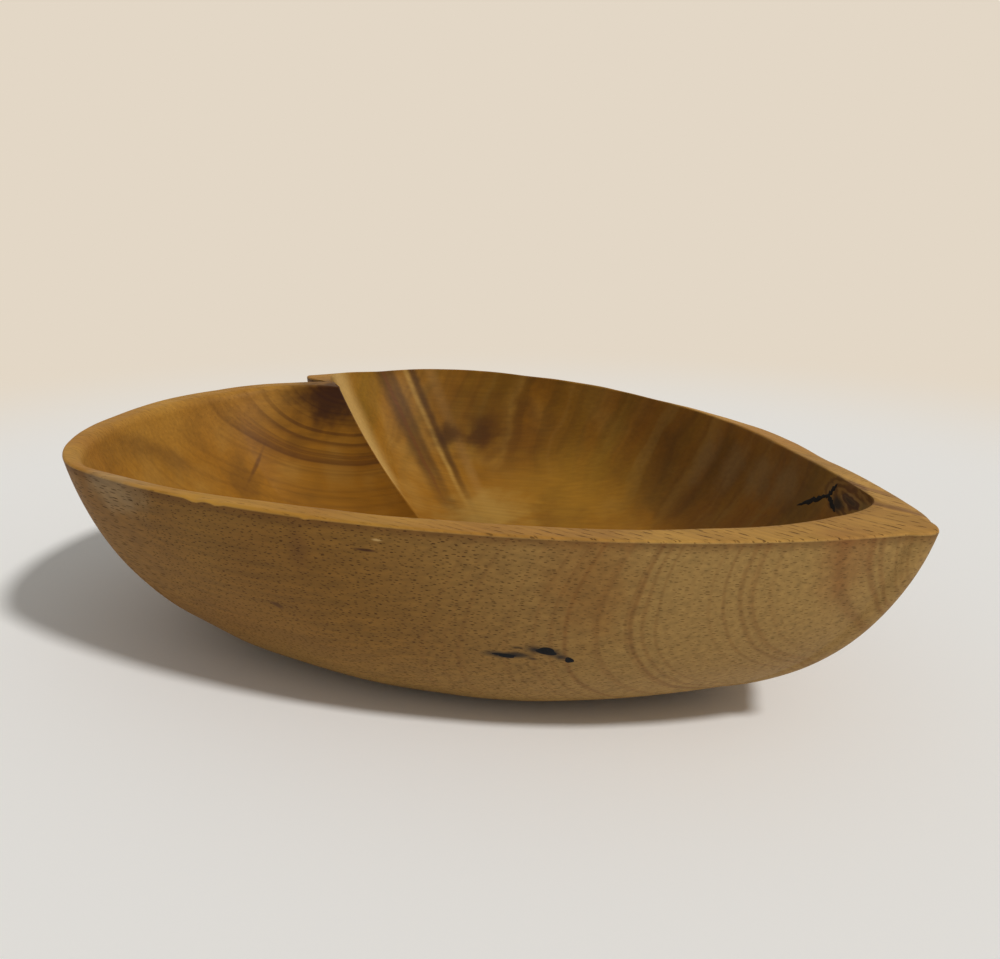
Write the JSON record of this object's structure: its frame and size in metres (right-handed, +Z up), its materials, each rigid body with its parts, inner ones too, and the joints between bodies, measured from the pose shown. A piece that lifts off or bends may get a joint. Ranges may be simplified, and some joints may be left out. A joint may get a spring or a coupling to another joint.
{
  "type": "heart-shaped bowl",
  "caption": "Hand-carved wooden bowl in a lopsided heart shape, with a crisp ridge inside the cleft, a thick pointed tip, dark-filled flaws and a small flat base.",
  "frame": {"origin": "on the table, under the middle of the bowl's outline", "axes": "+Y from the tip of the heart to its cleft, +Z up through the open top, +X to the narrow lobe"},
  "size_m": [0.24, 0.3042, 0.0695],
  "materials": {
    "carved_wood": "satin, open pores",
    "knot_wood": "satin",
    "dark_filler": "rough, near black"
  },
  "bodies": {
    "root": {"bowl_body": "carved_wood", "tip_knot": "knot_wood", "tip_split_fill": "dark_filler", "front_fill_long": "dark_filler", "front_fill_large": "dark_filler", "front_fill_small": "dark_filler"}
  },
  "joints": []
}
